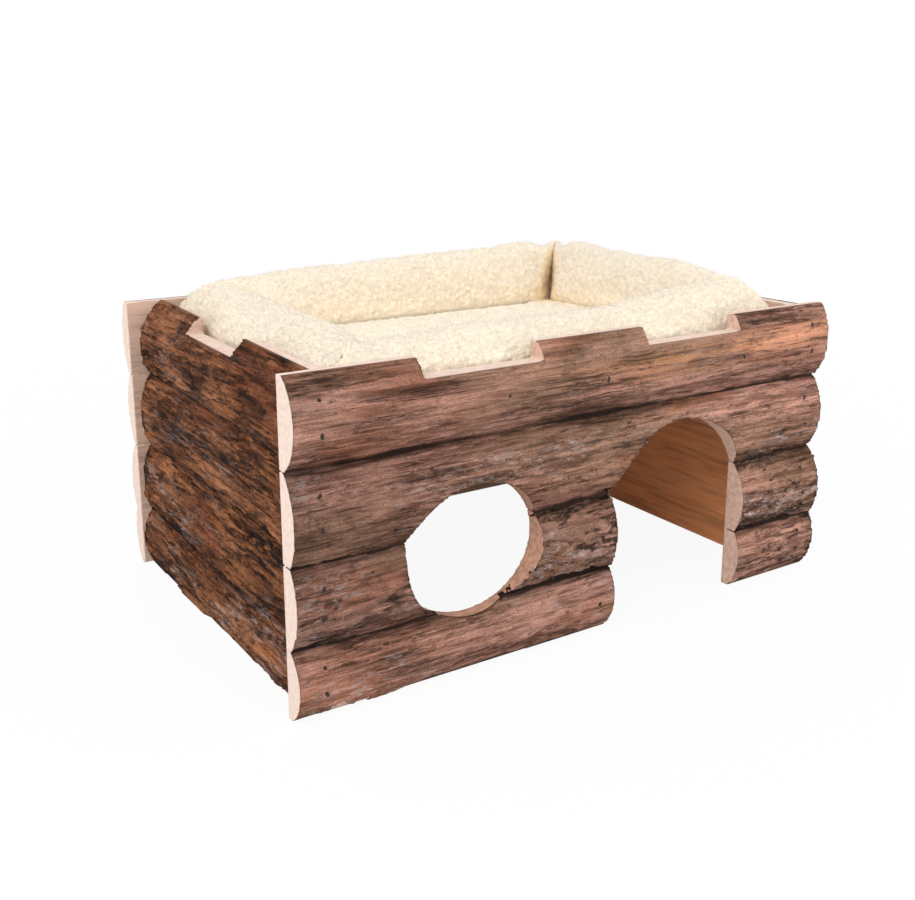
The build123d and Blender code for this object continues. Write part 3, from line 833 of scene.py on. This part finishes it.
def plush_material(name, tip, root, crease_shade_tone):
    """Plush: pale at the tips of the pile and warmer down in it, with painted shade deep in the pile and
    along creases.
    """
    material, nodes, shader, place = new_material(name, 0.95, 0.1)
    crease = nodes.stored("crease")
    patches = nodes.minus(nodes.noise(place, 38, 3), 0.5)
    # Warmer down in the pile, which is the plush's own colour; the ramp also darkens the bottom of the pile,
    # which is painted shade
    depth = nodes.plus(nodes.stored("pile"), nodes.times(patches, 0.5))
    colour = nodes.ramp(depth, [
        (0.12, rgba(root, 0.9)), (0.42, rgba(root)), (0.75, rgba(tip)), (1.0, rgba(tip, 1.03))])
    upward = nodes.axis(nodes.add("ShaderNodeNewGeometry").outputs["Normal"], 2)
    steep = nodes.remap(nodes.math("ABSOLUTE", upward), 0.75, 0.35)
    strands = nodes.noise(nodes.vector("MULTIPLY", place, (1, 1, 0.12)), 520, 3)
    strand = nodes.remap(strands, 0.44, 0.56, 0.5, 0.0)
    colour = nodes.mix(nodes.times(strand, steep), colour, rgba(root, 0.82))
    # Painted shade in the creases, browner still in the fold at the back right corner
    colour = nodes.mix(nodes.remap(crease, 0.35, 1.0, 0.0, 0.6), colour, rgba(crease_shade_tone))
    colour = nodes.mix(nodes.remap(crease, 0.8, 1.7, 0.0, 0.7), colour, rgba(crease_shade_tone, 0.7))
    # Painted light: the plush low in the bed, where the pad lies in the bolsters' shade, is made up to 12 %
    # lighter
    painted_light = nodes.remap(nodes.axis(place, 2), 0.187, 0.179, 1.0, 1.12)
    surfaced(nodes, shader, nodes.scaled(colour, painted_light), nodes.noise(place, 700, 4, 0.6), 0.0004)
    for socket, value in {"Subsurface Weight": 0.5, "Subsurface Radius": (1.0, 0.85, 0.6),
                          "Subsurface Scale": 0.004, "Sheen Weight": 0.25, "Sheen Roughness": 0.6}.items():
        shader.inputs[socket].default_value = value
    return material


def pile_tree():
    """Plush pile: soft lumps, curls over them, and short bent fibres where the plush is free."""
    tree, nodes, given = group_tree("plush_pile", {
        "Lumps": 0.002, "Curl": 0.0045, "Pile": 0.002, "Density": 300000.0, "Fibre length": 0.0026,
        "Fibre width": 0.0009, "Seed": 1, "Material": None})
    place = nodes.add("GeometryNodeInputPosition").outputs[0]
    normal = nodes.add("GeometryNodeInputNormal").outputs[0]
    lump = nodes.times(nodes.minus(nodes.noise(place, 34, 2), 0.5), given["Lumps"], 2.0)
    warped = nodes.warped(place, 160, 2, 0.003)
    cell = nodes.cells(warped, nodes.math("DIVIDE", 1.0, given["Curl"]))["Distance"]
    round_top = nodes.remap(cell, 0.05, 0.75, 1.0, 0.0)
    fine = nodes.noise(warped, 700, 3, 0.6)
    height = nodes.plus(nodes.times(round_top, 0.65), nodes.times(fine, 0.45))
    curl = nodes.times(nodes.minus(height, 0.5), given["Pile"])
    raised = nodes.times(nodes.plus(lump, curl), nodes.named("free"))
    moved = nodes.moved(given["Geometry"], nodes.scaled(normal, raised))
    base = nodes.kept(moved, "pile", nodes.times(height, 0.8))
    spread = nodes.add("GeometryNodeDistributePointsOnFaces", {
        "Mesh": base, "Density": nodes.times(given["Density"], nodes.named("open")), "Seed": given["Seed"]})
    rotation = nodes.turned(
        spread.outputs["Rotation"], (-0.65, -0.65, -3.14), (0.65, 0.65, 3.14), given["Seed"])
    size = nodes.add("FunctionNodeRandomValue", {2: 0.65, 3: 1.35, "Seed": given["Seed"]},
                     data_type="FLOAT").outputs[1]
    fibres = nodes.add("GeometryNodeInstanceOnPoints", {
        "Points": spread.outputs[0], "Instance": fibre_nodes(nodes, given), "Rotation": rotation,
        "Scale": size}).outputs[0]
    join = nodes.add("GeometryNodeJoinGeometry")
    nodes.feed(join.inputs[0], fibres)
    nodes.feed(join.inputs[0], base)
    nodes.end(join.outputs[0], given["Material"])
    return tree


def fibre_nodes(nodes, given):
    """One short bent fibre, thinner towards its tip."""
    size = given["Fibre length"]
    cone = nodes.add("GeometryNodeMeshCone", {
        "Vertices": 3, "Side Segments": 1, "Radius Top": nodes.times(given["Fibre width"], 0.28),
        "Radius Bottom": nodes.times(given["Fibre width"], 0.5), "Depth": size}, fill_type="NGON").outputs[0]
    place = nodes.add("GeometryNodeInputPosition").outputs[0]
    along = nodes.math("DIVIDE", nodes.axis(place, 2), size)
    squared = nodes.times(along, along)
    bend = nodes.times(squared, size, 0.8)
    stoop = nodes.times(nodes.plus(nodes.times(squared, 0.45), 0.25), size, -1.0)
    offset = nodes.add("ShaderNodeCombineXYZ", {0: bend, 1: 0.0, 2: stoop}).outputs[0]
    bent = nodes.add("GeometryNodeSetShadeSmooth", {"Geometry": nodes.moved(cone, offset)}).outputs[0]
    # Lower on the fibre the pile value gives the warmer colour and the painted shade of the pile's bottom
    return nodes.kept(bent, "pile", nodes.remap(squared, 0.0, 1.0, 0.72, 0.95, smooth=False))


def mitred(polygon):
    """True for a face where two bolsters meet."""
    normal = polygon.normal
    return abs(abs(normal.x) - abs(normal.y)) < 0.1 and abs(normal.z) < 0.1 and polygon.area > 4e-5


def rests(polygon):
    """True for a face that is held: the underside, and the mitre drawn in at the back right corner."""
    middle = polygon.center
    return polygon.normal.z < -0.7 or (mitred(polygon) and middle.x > 0.1 and middle.y > 0.05)


def corner_distance(points):
    """Distance from the seam that is drawn in at the back right corner, far away for the other corners."""
    x, y = points.T[:2]
    return np.where((x > 0.095) & (y > 0.045), np.abs(x - y - SEAM) / math.sqrt(2), 1.0)


def rise(points, settings):
    """How far the crowns stand up or have sunk: fullest at the back right, flattest along the front."""
    # Each share climbs from 0 to 1 between two places on the bed, or two heights above the floor
    x, y, z = points.T
    front, back = share(y, -0.02, -0.09), share(y, 0.03, 0.09)
    left, right = share(x, -0.10, -0.15), share(x, 0.05, 0.15)
    seam = corner_distance(points)
    fold = settings.fold * (1.25 * share(seam, 0.007, 0) + share(seam, 0.011, 0) * share(x, 0.146, 0.126))
    peak = settings.peak * share(np.hypot(x - 0.15, y - 0.10), 0.07, 0)
    sunk = np.maximum(front * (1 - right), 0.55 * left * (1 - back))
    full = np.maximum(back * (0.55 + 0.45 * share(x, -0.05, 0.13)), right)
    lifted = (settings.loft * full + peak) * share(z, 0.172, 0.202)
    return share(z, 0.179, 0.199) * (lifted - settings.sag * sunk - fold)


def parted(points, settings):
    """How far the two bolsters stand apart at that seam: open beside the pad, pressed together outside."""
    x, y, z = points.T
    side = np.sign((x - y - SEAM).mean())
    opening = share(z, 0.171, 0.177) * share(x, 0.134, 0.120, -0.8)
    away = side * settings.parting * opening * share(corner_distance(points), 0.016, 0)
    return np.stack((away, -away), axis=1) / math.sqrt(2)


def rounded(mesh, points, shares, rounds):
    """Points eased towards their neighbours, by a share for each and in a number of rounds."""
    edges = np.array([edge.vertices for edge in mesh.edges])
    ends, others = np.concatenate((edges, edges[:, ::-1])).T
    count = np.bincount(ends, minlength=len(points))
    for _ in range(rounds):
        middle = [np.bincount(ends, points[others, axis], len(points)) / count for axis in range(3)]
        points = points + (np.stack(middle, 1) - points) * shares[:, None]
    return points


def simulated(piece, start, free, settings, context):
    """How the cloth moves when it is blown up with spare cloth, and held where the piece rests."""
    held = piece.vertex_groups.new(name="held")
    for index, loose in enumerate(free):
        held.add([index], float(1 - loose), "REPLACE")
    cloth = piece.modifiers.new("stuffing", "CLOTH")
    cloth.settings.vertex_group_mass = "held"
    cloth.settings.use_pressure = True
    cloth.settings.uniform_pressure_force = settings.pressure
    cloth.settings.shrink_min = -settings.slack
    cloth.settings.effector_weights.gravity = 0
    cloth.collision_settings.use_collision = False
    for number in range(1, settings.frames + 1):
        context.scene.frame_set(number)
    moved = (coordinates(applied(piece)) - start) * free[:, None]
    context.scene.frame_set(1)
    piece.vertex_groups.clear()
    way = np.linalg.norm(moved, axis=1, keepdims=True)
    return moved * np.minimum(1, settings.cap / np.maximum(way, 1e-9))


def blown_up(piece, solid, settings, context):
    """Cloth over a stuffed piece: blown up, then pushed into the form of the used bed."""
    mesh = remeshed(piece, settings.voxel)
    near, normal = nearest(surface_tree(solid), coordinates(mesh))
    free = share(distances(surface_tree(solid, rests), near), 0, 0.007)
    bolster = "bolster" in piece.name
    mitre = distances(surface_tree(solid, mitred), near) if bolster else np.ones(len(near))
    clear = share(mitre, 0, 0.01)[:, None]
    start = near - normal * settings.sink * free[:, None] * clear
    mesh.vertices.foreach_set("co", start.ravel())
    moved = simulated(piece, start, free, settings, context)
    moved[:, :2] *= clear
    start = start + moved
    mesh = piece.data
    if bolster:
        start[:, :2] += parted(start, settings)
    else:
        edge = np.array(pad_corner[:2]) - 0.0175
        outer = share(np.abs(start[:, :2]), edge, edge + 0.012)
        start[:, :2] += settings.spread * np.sign(start[:, :2]) * outer
    start[:, 2] += rise(start, settings)
    beside = share(corner_distance(near), 0.0192, 0.0032) * share(near[:, 2], 0.173, 0.181)
    inner = share(near[:, 0], 0.138, 0.123)
    start[:, 2] = rounded(mesh, start, 0.6 * beside * inner, 4)[:, 2]
    mesh.vertices.foreach_set("co", start.ravel())
    free = np.maximum(free, np.minimum(beside, 0.7))
    store(mesh, "free", free)
    at_wall = (np.abs(near[:, :2]) > np.array(room[:2]) - 0.0025).any(axis=1) & (near[:, 2] < 0.178)
    hidden = ((mitre < 0.0015) & (beside < 0.3)) | at_wall
    store(mesh, "open", (free > 0.15) & ~hidden)
    return mesh


def crease_shading(node, points, solids):
    """How much shade is painted on each point of a stuffed piece, by how deep it lies in the creases round
    the pad and in the drawn-in corner.
    """
    x, y = points.T[:2]
    unseen = np.where((x > 0.11) & (y > 0.05), 0, 1)
    gaps = [distances(surface_tree(solid), points) + (0 if "centre_pad" in (node, other) else unseen)
            for other, solid in solids.items() if other != node]
    # Painted shade along the fold at the back right corner
    fold_shade = share(corner_distance(points), 0.0117, 0.0027) * share(x, 0.150, 0.125)
    return share(np.min(gaps, axis=0), 0.007, 0) + fold_shade


def inside_walls(mesh):
    """Keeps the plush inside the walls, apart from the notches in their tops, where it shows."""
    points = coordinates(mesh)
    inner = np.array(room[:2]) + 0.0002
    points[:, :2] = np.clip(points[:, :2], -inner, inner)
    mesh.vertices.foreach_set("co", points.ravel())


class HOUSE_OT_bed(bpy.types.Operator):
    """Plush bed: four mitred bolsters round a thin pad, on a cloth underside"""
    bl_idname = "house.bed"
    bl_label = "Plush bed"

    def execute(self, context):
        settings = context.scene.house_bed
        plush = plush_material("cream_plush", settings.tip, settings.root, settings.crease)
        tree = pile_tree()
        stuffed = ["back_bolster", "centre_pad", "front_bolster", "left_bolster", "right_bolster"]
        solids = {node: merged_copy(f"{node}_solid", node) for node in stuffed}
        for number, node in enumerate(stuffed):
            piece = new_object(f"{node}_plush", solids[node].copy())
            mesh = blown_up(piece, solids[node], settings, context)
            # Shade painted in the creases is stored on the mesh
            store(mesh, "crease", crease_shading(node, coordinates(mesh), solids))
            finer = piece.modifiers.new("finer", "SUBSURF")
            finer.levels = finer.render_levels = 2
            applied(piece)
            pad = node == "centre_pad"
            grow(piece, tree, {
                "Lumps": settings.lumps * (0.7 if pad else 1.0), "Curl": settings.curl, "Pile": settings.pile,
                "Density": settings.density, "Fibre length": settings.fibre_length,
                "Fibre width": settings.fibre_width, "Seed": number, "Material": plush})
            inside_walls(piece.data)
            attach(piece, "bed")
            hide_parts(node)
        for solid in solids.values():
            bpy.data.meshes.remove(solid)
        self.make_underside(settings.cloth)
        return {"FINISHED"}

    def make_underside(self, colour):
        """Cloth panel under the bed, woven and slightly uneven."""
        material, nodes, shader, place = new_material("bed_cloth", 0.95)
        weave = nodes.add("ShaderNodeTexWave", {
            "Vector": place, "Scale": 420.0, "Distortion": 0.6}).outputs["Fac"]
        threads = nodes.ramp(weave, [(0.0, rgba(colour, 0.8)), (1.0, rgba(colour))])
        surfaced(nodes, shader, threads, nodes.plus(weave, nodes.noise(place, 90, 3)), 0.0004)
        piece = new_object("bed_base_cloth", merged_copy("bed_base_cloth", "bed_base"))
        low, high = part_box("bed_base")
        remeshed(piece, 0.0010)
        fewer = piece.modifiers.new("fewer", "DECIMATE")
        fewer.ratio = 0.12
        mesh = applied(piece)
        points = coordinates(mesh)
        x, y, z = points.T
        ripple = 0.0003 * np.sin(x * 61 + 2 * np.sin(y * 37)) * np.sin(y * 53 + 1.1)
        under = z < (low.z + high.z) / 2
        points[:, 2] = np.clip(z + ripple * under, low.z, high.z)
        mesh.vertices.foreach_set("co", points.ravel())
        mesh.polygons.foreach_set("use_smooth", [True] * len(mesh.polygons))
        mesh.materials.clear()
        mesh.materials.append(material)
        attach(piece, "bed")
        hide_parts("bed_base")


class HOUSE_OT_stage(bpy.types.Operator):
    """Pale floor, soft studio light and the camera"""
    bl_idname = "house.stage"
    bl_label = "Stage"

    def execute(self, context):
        scene = context.scene
        scene.view_settings.view_transform = "Standard"
        self.make_floor(scene.house_stage.floor_size / 2)
        self.make_world(scene)
        self.make_lamps(scene)
        self.make_camera(scene, scene.house_stage)
        return {"FINISHED"}

    def make_floor(self, half):
        """Plain floor, near white to the camera, that still takes the shadow."""
        mesh = bpy.data.meshes.new("floor")
        corners = [(-half, -half, 0), (half, -half, 0), (half, half, 0), (-half, half, 0)]
        mesh.from_pydata(corners, [], [(0, 1, 2, 3)])
        floor = new_object("floor", mesh)
        material, nodes, shader, place = new_material("pale_floor", 1.0)
        nodes.tree.nodes.remove(shader)
        lit = nodes.add("ShaderNodeBsdfDiffuse", {"Color": (0.86, 0.86, 0.86, 1)}).outputs[0]
        white = nodes.add("ShaderNodeEmission", {"Color": (1, 1, 1, 1), "Strength": 1.0}).outputs[0]
        away = nodes.add("ShaderNodeVectorMath", {0: place}, operation="LENGTH").outputs["Value"]
        whiter = nodes.remap(away, 0.4, 1.3, 0.93, 1.0)
        seen = nodes.add("ShaderNodeMixShader", {0: whiter, 1: lit, 2: white}).outputs[0]
        both = nodes.add("ShaderNodeMixShader", {0: nodes.seen_directly(), 1: lit, 2: seen}).outputs[0]
        nodes.feed(nodes.tree.nodes["Material Output"].inputs["Surface"], both)
        mesh.materials.append(material)

    def make_world(self, scene):
        """White to the camera, a soft grey sky as light."""
        world = bpy.data.worlds.new("studio")
        scene.world = world
        world.use_nodes = True
        nodes = Nodes(world.node_tree)
        background = world.node_tree.nodes["Background"]
        strength = nodes.remap(nodes.seen_directly(), 0.0, 1.0, 0.86, 1.0, smooth=False)
        nodes.feed(background.inputs["Strength"], strength)
        background.inputs["Color"].default_value = (1, 1, 1, 1)

    def make_lamps(self, scene):
        """Large soft lamps: the key from the upper left, a fill from the right front."""
        lamps = {
            "key": ((-1.9, -1.2, 1.9), 1.4, 34.0, (1.0, 0.98, 0.95)),
            "fill": ((1.3, -2.2, 0.9), 1.6, 18.0, (1.0, 0.99, 0.98)),
        }
        for name, (place, size, power, colour) in lamps.items():
            lamp = bpy.data.lights.new(name, "AREA")
            lamp.size = size
            lamp.energy = power
            lamp.color = colour
            self.aimed(scene, name, lamp, place, Vector((0, 0, 0.1)) - Vector(place))

    def make_camera(self, scene, settings):
        """Camera at the viewing angle of the photograph."""
        data = bpy.data.cameras.new("camera")
        data.lens = settings.lens
        data.sensor_width = 36
        data.shift_y = settings.shift
        down = math.cos(settings.tilt)
        forward = Vector((math.sin(settings.heading) * down, math.cos(settings.heading) * down,
                          -math.sin(settings.tilt)))
        scene.camera = self.aimed(scene, "camera", data, settings.camera_place, forward)

    def aimed(self, scene, name, data, place, forward):
        """Object for a lamp or a camera, put in its place and turned to look forward."""
        holder = bpy.data.objects.new(name, data)
        scene.collection.objects.link(holder)
        turn = forward.to_track_quat("-Z", "Y").to_matrix().to_4x4()
        holder.matrix_world = Matrix.Translation(place) @ turn
        return holder


class HOUSE_PT_panel(bpy.types.Panel):
    """Sidebar panel with the house's steps"""
    bl_label = "House"
    bl_idname = "HOUSE_PT_panel"
    bl_space_type = "VIEW_3D"
    bl_region_type = "UI"
    bl_category = "House"

    def draw(self, context):
        for step in steps:
            self.layout.operator(step.bl_idname)


steps = (HOUSE_OT_stage, HOUSE_OT_bark_slabs, HOUSE_OT_posts_and_board, HOUSE_OT_brads, HOUSE_OT_bed)
settings_groups = {"house_bark": BarkSettings, "house_wood": WoodSettings, "house_bed": BedSettings,
                   "house_stage": StageSettings}


def register():
    """Registers the classes and hangs the settings on the scene."""
    for each in (*settings_groups.values(), *steps, HOUSE_PT_panel):
        bpy.utils.register_class(each)
    for name, group in settings_groups.items():
        setattr(bpy.types.Scene, name, bpy.props.PointerProperty(type=group))


def unregister():
    """Takes the settings and classes away again."""
    for name in settings_groups:
        delattr(bpy.types.Scene, name)
    for each in (HOUSE_PT_panel, *reversed(steps), *settings_groups.values()):
        bpy.utils.unregister_class(each)


def main():
    """Makes every piece."""
    register()
    for step in steps:
        category, name = step.bl_idname.split(".")
        getattr(getattr(bpy.ops, category), name)()


if __name__ == "__main__":
    main()
